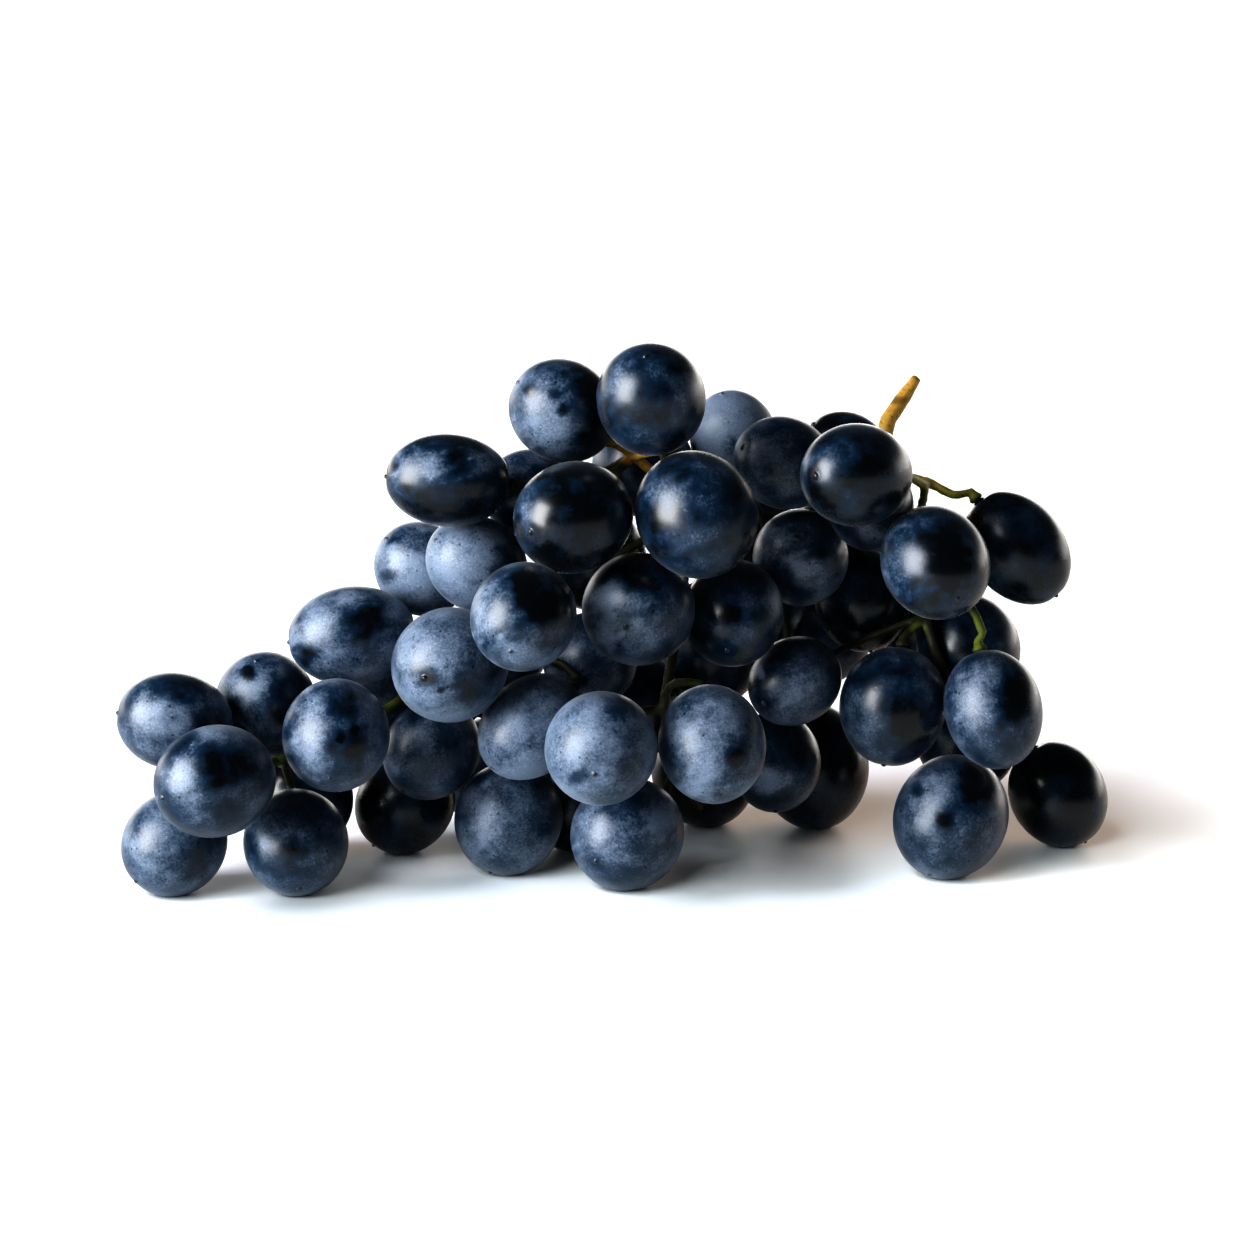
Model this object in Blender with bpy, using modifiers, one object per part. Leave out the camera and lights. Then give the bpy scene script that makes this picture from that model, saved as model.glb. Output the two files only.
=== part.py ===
"""A bunch of dark table grapes lying as picked: one node for each grape and one for the whole stem.

The bunch lies along X, its front faces -Y and it rests on z = 0. Each grape is placed by hand as it
is seen from the front and a little from above, then eased until it clears its neighbours. The stem's
small branches take the cheapest way through the gaps that are left, as they do while they grow.
Sizes in the tables are millimetres; Blender's own are metres.
"""

import heapq
import itertools
import math

import bmesh
import bpy
import numpy as np
from mathutils import Matrix, Vector

MM = 0.001

# The place that the tables are seen from
VIEW_TILT = math.radians(11)
VIEW_DISTANCE = 750
AIM_ACROSS = 3.8
AIM_UP = 47.8
ACROSS = np.array([1.0, 0.0, 0.0])
UP = np.array([0.0, math.sin(VIEW_TILT), math.cos(VIEW_TILT)])
BACK = np.array([0.0, math.cos(VIEW_TILT), -math.sin(VIEW_TILT)])

# Grapes: across, up, back, width, length, and which way the stem end points (across, up, back)
SEEN_GRAPES = {
    "grape_tip_1": (-87.2, 29.6, -23, 19.4, 23.6, (1.0, -0.15, 0.2)),
    "grape_tip_2": (-68.7, 33.0, -10, 20.4, 21.6, (0.1, -0.6, 0.4)),
    "grape_tip_3": (-79.2, 17.6, -38, 22.4, 25.2, (0.8, 0.25, 0.6)),
    "grape_tip_4": (-87.4, 5.2, -20, 20.4, 22.0, (0.6, 0.6, 0.3)),
    "grape_tip_5": (-54.6, 27.0, -26, 21.4, 23.6, (0.05, 0.65, 0.65)),
    "grape_tip_6": (-63.2, 5.8, -21, 21.0, 22.0, (-0.1, 0.7, 0.5)),
    "grape_left_1": (-51.8, 46.4, -14, 19.8, 26.0, (1.0, 0.1, 0.15)),
    "grape_left_2": (-35.8, 23.8, -4, 19.0, 21.0, (0.4, 0.6, 0.2)),
    "grape_left_3": (-32.2, 40.8, -28, 23.0, 25.0, (0.36, 0.2, 0.9)),
    "grape_left_4": (-41.0, 12.2, 16, 19.4, 21.0, (0.6, 0.8, 0.0)),
    "grape_left_5": (-38.0, 60.0, -7, 18.4, 20.0, (0.6, -0.5, 0.3)),
    "grape_left_6": (-27.0, 61.2, -22, 18.8, 21.6, (0.7, -0.4, 0.5)),
    "grape_crown_1": (-32.4, 77.6, -31, 18.6, 25.2, (1.0, -0.06, 0.1)),
    "grape_crown_2": (-17.4, 50.6, -42, 21.2, 23.6, (0.2, 0.6, 0.8)),
    "grape_crown_3": (-16.2, 75.2, -12, 17.6, 20.0, (0.5, 0.1, 0.5)),
    "grape_crown_4": (-9.6, 91.6, -21, 20.4, 22.4, (0.9, -0.55, 0.35)),
    "grape_crown_5": (-7.6, 70.2, -33, 22.4, 26.0, (0.8, 0.3, 0.9)),
    "grape_crown_6": (8.0, 93.6, -32, 21.8, 23.4, (0.1, -0.7, 0.7)),
    "grape_crown_7": (16.8, 70.8, -34, 24.2, 26.6, (-0.42, 0.8, 0.45)),
    "grape_crown_8": (24.6, 86.0, 8, 17.6, 20.0, (0.2, -0.7, 0.3)),
    "grape_crown_9": (35.6, 80.6, -10, 18.4, 21.6, (0.9, -0.3, 0.6)),
    "grape_heart_1": (5.8, 52.2, -25, 22.6, 24.0, (0.2, 0.3, 0.9)),
    "grape_heart_2": (24.4, 51.4, -13, 20.0, 23.8, (0.1, 0.5, 0.6)),
    "grape_heart_3": (37.8, 62.6, -1, 19.2, 21.2, (0.1, -0.3, 0.8)),
    "grape_heart_4": (-4.2, 41.8, -5, 19.0, 20.8, (0.2, 0.3, 0.9)),
    "grape_heart_5": (36.8, 37.6, -5, 17.4, 20.8, (0.6, 0.4, 0.6)),
    "grape_heart_6": (50.2, 53.8, 12, 19.2, 21.0, (-0.15, 1.0, 0.1)),
    "grape_shoulder_1": (49.0, 78.8, -29, 20.6, 25.0, (0.75, 0.05, 0.8)),
    "grape_shoulder_2": (50.8, 72.8, -9, 17.2, 19.6, (0.0, 0.5, 0.5)),
    "grape_shoulder_3": (47.2, 82.0, 9, 18.2, 20.2, (0.3, -0.3, 0.1)),
    "grape_shoulder_4": (64.0, 61.2, -21, 21.4, 25.0, (-0.3, 0.6, 0.75)),
    "grape_shoulder_5": (81.2, 64.2, -6, 18.8, 25.0, (-0.65, 0.8, 0.1)),
    "grape_right_1": (71.4, 44.2, 8, 20.4, 22.0, (-0.3, 0.6, 0.2)),
    "grape_right_2": (76.4, 32.0, -14, 19.6, 24.4, (-0.2, 1.0, 0.25)),
    "grape_right_3": (56.4, 32.6, -6, 21.4, 24.2, (0.15, 0.9, 0.1)),
    "grape_right_4": (68.0, 10.6, -7, 22.8, 25.6, (0.35, 0.85, 0.3)),
    "grape_right_5": (89.4, 14.8, 18, 19.2, 22.0, (-0.5, 0.85, 0.0)),
    "grape_foot_1": (-15.8, 28.6, -18, 19.2, 24.0, (0.65, 0.65, 0.35)),
    "grape_foot_2": (-2.0, 24.2, -35, 22.6, 24.0, (0.1, 0.4, 0.9)),
    "grape_foot_3": (20.2, 25.0, -30, 21.6, 24.8, (-0.1, 0.7, 0.5)),
    "grape_foot_4": (-20.6, 10.2, -4, 21.4, 23.2, (0.3, 0.9, 0.2)),
    "grape_foot_5": (3.2, 7.4, -16, 22.4, 24.0, (0.5, 0.4, 0.7)),
    "grape_foot_6": (32.8, 21.4, 14, 18.2, 20.4, (0.0, 0.7, 0.2)),
    "grape_foot_7": (40.4, 20.4, 33, 22.2, 25.4, (-0.1, 1.0, -0.1)),
}
BACK_GRAPES = {
    "grape_back_1": (19.5, 19.2, 34, 21.0, 22.6, (-0.2, 0.8, -0.4)),
    "grape_back_2": (-6.0, 16.0, 16, 21.0, 22.6, (0.1, 0.9, -0.3)),
    "grape_back_3": (-24.0, 20.0, 34, 21.0, 23.0, (0.1, 0.7, -0.6)),
    "grape_back_4": (-45.5, 37.0, 9, 20.4, 22.4, (0.7, 0.2, -0.2)),
    "grape_back_5": (-23.0, 45.0, 13, 21.4, 23.2, (0.2, 0.0, -0.9)),
    "grape_back_6": (-2.0, 62.0, 5, 21.0, 23.0, (0.3, 0.0, -0.9)),
    "grape_back_7": (-62.5, 15.5, 3, 20.0, 21.6, (0.1, 0.5, -0.8)),
    "grape_back_8": (7.0, 79.0, 6, 20.4, 22.6, (0.2, -0.2, -0.9)),
    "grape_back_9": (27.0, 66.0, 23, 21.4, 23.4, (-0.1, -0.1, -1.0)),
    "grape_back_10": (5.5, 32.0, 25, 22.4, 24.0, (0.0, 0.4, -0.9)),
    "grape_back_11": (19.5, 42.0, 33, 22.0, 23.6, (0.0, 0.3, -0.9)),
    "grape_back_12": (47.5, 70.0, 28, 20.6, 22.4, (-0.1, -0.1, -0.9)),
    "grape_back_13": (61.5, 49.5, 30, 20.8, 22.6, (-0.1, 0.3, -0.8)),
    "grape_back_14": (71.5, 26.5, 22, 20.2, 22.0, (-0.3, 0.7, -0.4)),
    "grape_back_15": (41.0, 45.5, 31, 22.4, 24.0, (0.0, 0.5, -0.8)),
}
RESTING = (
    "grape_tip_4", "grape_tip_6", "grape_left_4", "grape_foot_4", "grape_foot_5", "grape_foot_7",
    "grape_right_4", "grape_right_5", "grape_back_1", "grape_back_2", "grape_back_3",
)

# Stem lines: across, up, back from the older end outwards, and the thickness kept clear for each
STEM_LINES = {
    "main": (3.5, ((61.2, 98.2, 5), (57.7, 93.2, 3), (54.3, 88.3, 1), (54.2, 83.0, -1), (55.5, 77.0, 1),
                   (54.5, 69.0, 4), (45.0, 67.0, 12), (28.0, 62.5, 8), (14.0, 54.0, 4), (-2.0, 49.0, 7),
                   (-16.0, 50.0, 2), (-30.0, 43.0, -1), (-46.0, 30.5, -8), (-64.0, 22.0, -16),
                   (-74.0, 20.0, -22))),
    "right": (2.6, ((54.5, 69.0, 4), (61.5, 60.0, 0), (62.5, 50.0, -2), (65.5, 42.0, -3), (68.0, 36.0, -1),
                    (75.0, 26.0, 6))),
    "crown": (2.4, ((14.0, 54.0, 4), (15.5, 66.0, -5), (9.5, 79.0, -12), (4.5, 82.6, -14))),
    "foot": (2.8, ((14.0, 54.0, 4), (12.0, 40.0, -6), (10.0, 31.0, -8), (12.0, 22.0, -2), (18.0, 12.0, 5))),
    "wing": (2.0, ((55.3, 78.0, 1), (60.8, 78.4, -1), (64.8, 76.8, -3), (66.4, 75.0, -4), (69.6, 74.8, -5))),
    "spur": (2.2, ((61.5, 60.0, 0), (66.0, 57.0, -3), (71.0, 54.5, -7), (73.2, 50.4, -9.5),
                   (74.4, 47.0, -11))),
}

# Packing
GRAPE_GAP = 0.3
STEM_GAP = 0.35
SINK = 0.5  # how far a resting grape is pressed flat
LEAST_LIFT = 0.5
ROUNDS = 700
SOFT_SHARE = 0.85  # the share of the rounds in which grapes are also drawn back to their places
STEP_SHARE = 0.6

# Pedicels and their knobs
KNOB_BALL = 1.8
KNOB_REACH = 1.9
START_REACH = 3.4  # where a pedicel's way to the stem begins, straight out from its grape
KNOB_PROFILE = ((-0.15, 1.45), (0.45, 1.7), (1.1, 1.15), (2.1, 0.9))  # beyond the grape's end, radius
TWIG_RADIUS = 0.8
TRUNK_EXTRA = 0.9
CUT_END_RADIUS = 1.0
CUT_TAPER = 10.0
NODE_AT = 6.5  # from the cut end to the small swelling
NODE_SWELL = 0.3

# The way through the gaps
CELL = 1.4
LEAST_ROOM = 1.15
MOST_ROOM = 6.0
CROWD_REACH = 28.0
LEAST_CROWD = 5
FULL_CROWD = 10
START_PULL = 12  # how much nearness to its grape counts against a cheap way, per millimetre
JOIN_REACH = 1.9
SHORT_WAY = 3.0  # a grape whose stem end is nearer than this to the stem joins it straight
SMOOTH_ROUNDS = 60
ROOT_SHARE = 0.92  # a branch is a little thinner than the stem that it grows from
TURN_ROOM = 0.25  # kept free beside a stem, because its segments cut across its bends

# Mesh fineness
GRAPE_SEGMENTS = 12
RING_ANGLES = (26, 52, 78, 104, 130, 156)
STEM_END_FLAT = 0.45
STEM_END_RIM = 2.2
TWIG_SIDES = 1  # Blender's bevel resolution: six sides
TRUNK_SIDES = 2


def in_space(across, up, back):
    """A point from its place in the view to the bunch's own frame, in millimetres."""
    spread = 1 + back / VIEW_DISTANCE
    across = AIM_ACROSS + (across - AIM_ACROSS) * spread
    up = AIM_UP + (up - AIM_UP) * spread
    return across * ACROSS + up * UP + back * BACK


def half_size(directions, axes, long_half, wide_half):
    """How far an ellipsoid of revolution reaches along each direction, its tangent plane included."""
    along = (directions * axes).sum(-1)
    return np.sqrt(wide_half**2 + (long_half**2 - wide_half**2) * along**2)


def unit(vectors):
    return vectors / np.linalg.norm(vectors, axis=-1, keepdims=True)


class Bunch:
    """The grapes as ellipsoids: names, centres, axes towards the stem end, and half sizes."""

    def __init__(self, table):
        self.names = list(table)
        rows = list(table.values())
        back = np.array([row[2] for row in rows], float)
        spread = 1 + back / VIEW_DISTANCE
        self.centres = np.array([in_space(*row[:3]) for row in rows])
        self.axes = unit(np.array([row[5][0] * ACROSS + row[5][1] * UP + row[5][2] * BACK for row in rows]))
        self.wide = np.array([row[3] for row in rows]) / 2 * spread
        self.long = np.array([row[4] for row in rows]) / 2 * spread

    def beyond_end(self, reach):
        """The points that lie a little beyond each grape's stem end."""
        return self.centres + self.axes * (self.long + reach)[:, None]

    def shortfall(self, points, radii, gap):
        """How much each grape crosses each ball, and the directions from ball to grape."""
        apart = self.centres[:, None] - points[None]
        far = np.linalg.norm(apart, axis=2)
        towards = apart / np.maximum(far, 1e-6)[:, :, None]
        half = half_size(towards, self.axes[:, None], self.long[:, None], self.wide[:, None])
        return np.maximum(half + radii + gap - far, 0), towards

    def room(self, points):
        """The distance from each point to the nearest grape, and which grape that is."""
        best = np.full(len(points), np.inf)
        nearest = np.zeros(len(points), int)
        for index in range(len(self.names)):
            apart = points - self.centres[index]
            far = np.linalg.norm(apart, axis=1) + 1e-9
            half = half_size(apart / far[:, None], self.axes[index], self.long[index], self.wide[index])
            closer = far - half < best
            best[closer] = (far - half)[closer]
            nearest[closer] = index
        return best, nearest


def settle(bunch, stem_points, stem_radii):
    """Ease every grape clear of its neighbours and of the stem lines.

    A seen grape gives way mostly along the line of sight, which keeps the view of the bunch; one at the
    back gives way freely. Resting grapes stay on the surface, pressed flat by SINK.
    """
    home = bunch.centres.copy()
    hidden = np.array([name in BACK_GRAPES for name in bunch.names])[:, None]
    resting = np.array([name in RESTING for name in bunch.names])
    view_axes = np.array([ACROSS, UP, BACK])
    ease = np.where(hidden, [1.0, 1.0, 1.0], [0.4, 0.4, 1.0])
    hold = np.where(hidden, [0.004, 0.004, 0.004], [0.05, 0.05, 0.002])
    count = len(bunch.names)
    each = np.arange(count)
    for turn in range(ROUNDS):
        apart = bunch.centres[:, None] - bunch.centres[None]
        far = np.linalg.norm(apart, axis=2) + np.eye(count)
        towards = apart / far[:, :, None]
        half = half_size(towards, bunch.axes[:, None], bunch.long[:, None], bunch.wide[:, None])
        short = np.maximum(half + half.T + GRAPE_GAP - far, 0)
        np.fill_diagonal(short, 0)
        push = (short[:, :, None] * towards).sum(1) / 2
        short, towards = bunch.shortfall(bunch.beyond_end(KNOB_REACH), KNOB_BALL, STEM_GAP)
        np.fill_diagonal(short, 0)
        shove = short[:, :, None] * towards / 2
        push += shove.sum(1) - shove.sum(0)
        short, towards = bunch.shortfall(stem_points, stem_radii, STEM_GAP)
        worst = short.argmax(1)
        push += short[each, worst][:, None] * towards[each, worst]
        move = push @ view_axes.T * ease
        if turn < ROUNDS * SOFT_SHARE:
            move += (home - bunch.centres) @ view_axes.T * hold
        bunch.centres += STEP_SHARE * move @ view_axes
        low = half_size(np.array([0, 0, -1.0]), bunch.axes, bunch.long, bunch.wide)
        lift = low - SINK - bunch.centres[:, 2]
        bunch.centres[:, 2] += np.where(resting, lift, np.maximum(lift + SINK + LEAST_LIFT, 0))
    bunch.centres = np.round(bunch.centres, 2)


def rounded_line(corners, spacing):
    """A line through the corners with its bends cut twice, as points an even spacing apart."""
    points = np.array([in_space(*corner) for corner in corners])
    for _ in range(2):
        cut = [points[0]]
        for start, end in zip(points[:-1], points[1:]):
            cut += [0.75 * start + 0.25 * end, 0.25 * start + 0.75 * end]
        points = np.array(cut + [points[-1]])
    along = np.r_[0, np.cumsum(np.linalg.norm(np.diff(points, axis=0), axis=1))]
    at = np.linspace(0, along[-1], int(along[-1] / spacing) + 1)
    return np.stack([np.interp(at, along, points[:, k]) for k in range(3)], axis=1)


class Tree:
    """Stem points, each with the point that it grows from."""

    def __init__(self):
        self.points = []
        self.parents = []

    def add(self, point, parent):
        self.points.append(np.array(point, float))
        self.parents.append(parent)
        return len(self.points) - 1

    def nearest(self, point):
        far = np.linalg.norm(np.array(self.points) - point, axis=1)
        return int(far.argmin()), float(far.min())

    def loads(self, ends):
        """How many grapes hang beyond each point."""
        load = np.zeros(len(self.points))
        for end in ends:
            at = end
            while at is not None:
                load[at] += 1
                at = self.parents[at]
        return load


def stem_tree():
    """The tree of the stem lines alone; each line starts on the nearest point that is already there."""
    tree = Tree()
    lines = {}
    for name, (_, corners) in STEM_LINES.items():
        points = rounded_line(corners, CELL)
        parent = tree.nearest(points[0])[0] if tree.points else None
        lines[name] = [] if parent is None else [parent]
        for point in points[len(lines[name]):]:
            parent = tree.add(point, parent)
            lines[name].append(parent)
    return tree, lines


def open_cells(bunch):
    """The grid cells in the gaps of the bunch that a pedicel fits through, and what each costs to cross."""
    low = np.floor(bunch.centres.min(0) - 14)
    high = bunch.centres.max(0) + 14
    low[2] = LEAST_ROOM
    shape = np.ceil((high - low) / CELL).astype(int)
    sides = [low[k] + CELL * np.arange(shape[k]) for k in range(3)]
    cells = np.stack(np.meshgrid(*sides, indexing="ij"), axis=-1).reshape(-1, 3)
    room = bunch.room(cells)[0]
    crowd = np.zeros(len(cells))
    for centre in bunch.centres:
        crowd += np.linalg.norm(cells - centre, axis=1) < CROWD_REACH
    kept = np.flatnonzero((room > LEAST_ROOM) & (room < MOST_ROOM) & (crowd >= LEAST_CROWD))
    numbers = np.full(len(cells), -1)
    numbers[kept] = np.arange(len(kept))
    numbers = numbers.reshape(shape)
    cost = 1 + 1.5 * np.maximum(2.2 - room[kept], 0) + 0.5 * np.maximum(FULL_CROWD - crowd[kept], 0)
    places = np.array(np.unravel_index(kept, shape)).T
    steps = [step for step in itertools.product((-1, 0, 1), repeat=3) if step != (0, 0, 0)]
    links = np.full((len(kept), len(steps)), -1)
    for column, step in enumerate(steps):
        to = places + step
        inside = ((to >= 0) & (to < shape)).all(axis=1)
        links[inside, column] = numbers[tuple(to[inside].T)]
    spans = [CELL * math.dist(step, (0, 0, 0)) for step in steps]
    return cells[kept], cost, links, spans


def cheapest_ways(cells, cost, links, spans, sources):
    """For each cell, what its way back to the sources costs and the next cell on that way."""
    total = [math.inf] * len(cells)
    towards = [None] * len(cells)
    queue = []
    for source in sources:
        cell = int(np.linalg.norm(cells - source, axis=1).argmin())
        if total[cell]:
            total[cell] = 0.0
            queue.append((0.0, cell))
    heapq.heapify(queue)
    costs = cost.tolist()
    neighbours = links.tolist()
    while queue:
        spent, cell = heapq.heappop(queue)
        if spent > total[cell]:
            continue
        for other, span in zip(neighbours[cell], spans):
            if other < 0:
                continue
            price = round(spent + span * (costs[cell] + costs[other]) / 2, 4)
            if price < total[other]:
                total[other] = price
                towards[other] = cell
                heapq.heappush(queue, (price, other))
    return total, towards


def grow_pedicels(tree, bunch):
    """Add each grape's pedicel to the tree. Returns the tree's end points, one for each grape."""
    cells, cost, links, spans = open_cells(bunch)
    total, towards = cheapest_ways(cells, cost, links, spans, np.array(tree.points))
    total = np.array(total)
    starts = []
    out = bunch.beyond_end(START_REACH)
    out_is_free = bunch.room(out)[0] > LEAST_ROOM
    for point in out:
        far = np.linalg.norm(cells - point, axis=1)
        starts.append(int((far * START_PULL + total).argmin()))
    ends = {}
    for index in sorted(range(len(starts)), key=lambda at: total[starts[at]]):
        way = []
        cell = starts[index]
        parent, distance = tree.nearest(out[index])
        while cell is not None and distance > SHORT_WAY:
            way.append(cells[cell])
            if tree.nearest(cells[cell])[1] < JOIN_REACH:
                break
            cell = towards[cell]
        if way:
            parent = tree.nearest(way[-1])[0]
            way[0] = out[index] if out_is_free[index] else way[0]
        for point in way[-2::-1]:
            parent = tree.add(point, parent)
        for reach, _ in KNOB_PROFILE[::-1]:
            point = bunch.centres[index] + bunch.axes[index] * (bunch.long[index] + reach)
            parent = tree.add(point, parent)
        ends[index] = parent
    return ends


def smooth_tree(tree, fixed, bunch, radii):
    """Draw the free points towards their neighbours' middle, where that leaves them room enough."""
    points = np.array(tree.points)
    parents = np.array([at if parent is None else parent for at, parent in enumerate(tree.parents)])
    free = np.flatnonzero(~fixed)
    wanted = radii[free] + STEM_GAP + TURN_ROOM
    room = bunch.room(points[free])[0]
    for _ in range(SMOOTH_ROUNDS):
        sums = points[parents].copy()
        counts = np.ones(len(points))
        np.add.at(sums, parents, points)
        np.add.at(counts, parents, 1)
        middle = sums / counts[:, None]
        moved = points[free] + 0.5 * (middle[free] - points[free])
        new_room = bunch.room(moved)[0]
        better = (new_room >= wanted) | (new_room >= room)
        points[free[better]] = moved[better]
        room[better] = new_room[better]
    return points


def branches(tree, lines, ends):
    """The tree cut into lines of point numbers: the stem lines, then each pedicel to where it joins."""
    runs = [list(line) for line in lines.values()]
    used = {point for run in runs for point in run}
    for end in ends.values():
        run = [end]
        while run[-1] not in used:
            used.add(run[-1])
            run.append(tree.parents[run[-1]])
        runs.append(run[::-1])
    return runs


def thinned(run, keep, every, points, bunch, radii):
    """The run with only every few points kept, those that must stay, and more where a grape is near."""
    kept = [run[0]]
    for place in range(1, len(run)):
        start = points[kept[-1]]
        ahead = points[run[min(place + 1, len(run) - 1)]] - start
        shortcut = start + np.outer((0.25, 0.5, 0.75), ahead)
        tight = bunch.room(shortcut)[0].min() < radii[run[place]] + STEM_GAP / 2
        since = place - run.index(kept[-1])
        if run[place] in keep or place == len(run) - 1 or since >= every or tight:
            kept.append(run[place])
    return kept


def clear_scene():
    for obj in list(bpy.data.objects):
        bpy.data.objects.remove(obj)


def collection(name):
    made = bpy.data.collections.new(name)
    bpy.context.scene.collection.children.link(made)
    return made


def material(name, colour, roughness):
    made = bpy.data.materials.new(name)
    made.use_nodes = True
    shader = made.node_tree.nodes["Principled BSDF"]
    shader.inputs["Base Color"].default_value = (*colour, 1)
    shader.inputs["Roughness"].default_value = roughness
    made.diffuse_color = (*colour, 1)
    return made


def grape_profile(long_half, wide_half):
    """Half of the grape's outline from the stem end down to the far end, in metres."""
    outline = [(0, long_half - STEM_END_FLAT), (STEM_END_RIM, long_half - STEM_END_FLAT + 0.03)]
    for degrees in RING_ANGLES:
        angle = math.radians(degrees)
        outline.append((wide_half * math.sin(angle), long_half * math.cos(angle)))
    outline.append((0, -long_half))
    return [(x * MM, 0, z * MM) for x, z in outline]


def stem_end_towards(axis):
    """The turn that points +Z along the axis and keeps +X, where a turned outline has its corners, lowest."""
    up = Vector(axis).normalized()
    low = Vector((0, 0, -1))
    side = (low - low.dot(up) * up).normalized()
    return Matrix((side, up.cross(side), up)).transposed().to_quaternion()


def make_grape(name, centre, axis, long_half, wide_half, parent, home, floor_cutter):
    """One grape: its outline turned about its long axis, with a flat where it rests."""
    mesh = bpy.data.meshes.new(name)
    outline = grape_profile(long_half, wide_half)
    mesh.from_pydata(outline, [(at, at + 1) for at in range(len(outline) - 1)], [])
    grape = bpy.data.objects.new(name, mesh)
    home.objects.link(grape)
    grape.parent = parent
    grape.location = [value * MM for value in centre]
    grape.rotation_mode = "QUATERNION"
    grape.rotation_quaternion = stem_end_towards(axis)
    screw = grape.modifiers.new("turned outline", "SCREW")
    screw.steps = GRAPE_SEGMENTS
    screw.render_steps = GRAPE_SEGMENTS
    screw.use_merge_vertices = True
    screw.merge_threshold = 0.00001
    screw.use_smooth_shade = True
    if name in RESTING:
        cut = grape.modifiers.new("flat where it rests", "BOOLEAN")
        cut.operation = "DIFFERENCE"
        cut.solver = "EXACT"
        cut.object = floor_cutter
    mesh.materials.append(material(name + "_skin", (0.012, 0.017, 0.035), 0.4))
    return grape


def make_floor_cutter(parent, home):
    """A block whose top is the surface that the bunch rests on."""
    bpy.ops.mesh.primitive_cube_add(size=1)
    cutter = bpy.context.object
    cutter.name = "floor_cutter"
    for held in list(cutter.users_collection):
        held.objects.unlink(cutter)
    home.objects.link(cutter)
    cutter.scale = (0.3, 0.2, 0.02)
    cutter.location = (0, 0, -0.01)
    cutter.parent = parent
    cutter.hide_render = True
    cutter.display_type = "WIRE"
    return cutter


def tube(name, points, radii, sides, home):
    """A closed mesh round a line: a curve with a round bevel and filled ends, made mesh."""
    curve = bpy.data.curves.new(name, "CURVE")
    curve.dimensions = "3D"
    curve.bevel_depth = MM
    curve.bevel_resolution = sides
    curve.use_fill_caps = True
    curve.resolution_u = 1
    spline = curve.splines.new("POLY")
    spline.points.add(len(points) - 1)
    for spot, point, radius in zip(spline.points, points, radii):
        spot.co = (*(point * MM), 1)
        spot.radius = radius
    line = bpy.data.objects.new(name, curve)
    home.objects.link(line)
    bpy.context.view_layer.update()
    graph = bpy.context.evaluated_depsgraph_get()
    mesh = bpy.data.meshes.new_from_object(line.evaluated_get(graph))
    made = bpy.data.objects.new(name, mesh)
    made.matrix_world = line.matrix_world
    bpy.data.objects.remove(line)
    shape = bmesh.new()
    shape.from_mesh(mesh)
    bmesh.ops.remove_doubles(shape, verts=shape.verts, dist=0.000001)
    bmesh.ops.recalc_face_normals(shape, faces=shape.faces)
    shape.to_mesh(mesh)
    shape.free()
    home.objects.link(made)
    return made


def stem_radii(tree, load, lines, ends):
    """A twig's radius for one grape, growing with the root of the load, and thinner at the cut end."""
    radii = TWIG_RADIUS + TRUNK_EXTRA * np.sqrt(load / load.max())
    for end in ends.values():
        at = end
        for _, radius in KNOB_PROFILE:
            radii[at] = radius
            at = tree.parents[at]
    trunk = np.array([tree.points[at] for at in lines["main"]])
    along = np.r_[0, np.cumsum(np.linalg.norm(np.diff(trunk, axis=0), axis=1))]
    for at, distance in zip(lines["main"], along):
        if distance < CUT_TAPER:
            share = distance / CUT_TAPER
            swell = NODE_SWELL * math.exp(-((distance - NODE_AT) ** 2) / 2)
            radii[at] = CUT_END_RADIUS + (radii[at] - CUT_END_RADIUS) * share + swell
    return radii


def plan_stem(bunch):
    """The whole stem as tubes: for each, its points, its radius at each and Blender's bevel resolution."""
    tree, lines = stem_tree()
    line_count = len(tree.points)
    ends = grow_pedicels(tree, bunch)
    radii = stem_radii(tree, np.maximum(tree.loads(ends.values()), 1), lines, ends)
    fixed = np.zeros(len(tree.points), bool)
    fixed[:line_count] = True
    kept = set()
    for end in ends.values():
        at = end
        for _ in KNOB_PROFILE:
            fixed[at] = True
            kept.add(at)
            at = tree.parents[at]
        kept.add(at)
    points = smooth_tree(tree, fixed, bunch, radii)
    radii = np.where(fixed, radii, np.minimum(radii, bunch.room(points)[0] - STEM_GAP))
    runs = branches(tree, lines, ends)
    kept |= {run[0] for run in runs}
    tubes = []
    for number, run in enumerate(runs):
        trunk = number < len(lines)
        run = thinned(run, kept, 4 if trunk else 3, points, bunch, radii)
        thick = radii[run].copy()
        if number:
            thick[0] = min(thick[0] * ROOT_SHARE, thick[1])
        tubes.append((points[run], thick, TRUNK_SIDES if trunk else TWIG_SIDES))
    return tubes


def make_stem(bunch, parent, home, parts_home):
    """The stem as one solid: every line as a tube, joined by one Boolean union."""
    stem, *parts = [tube("stem", *row, parts_home) for row in plan_stem(bunch)]
    parts_home.objects.unlink(stem)
    home.objects.link(stem)
    union = stem.modifiers.new("one stem", "BOOLEAN")
    union.operation = "UNION"
    union.solver = "MANIFOLD"
    union.operand_type = "COLLECTION"
    union.collection = parts_home
    bpy.context.view_layer.update()
    joined = bpy.data.meshes.new_from_object(stem.evaluated_get(bpy.context.evaluated_depsgraph_get()))
    stem.modifiers.remove(union)
    stem.data = joined
    for part in parts:
        bpy.data.objects.remove(part)
    stem.name = "stem"
    joined.shade_smooth()
    stem.parent = parent
    joined.materials.clear()
    joined.materials.append(material("stem_wood", (0.30, 0.22, 0.06), 0.6))
    return stem


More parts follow.
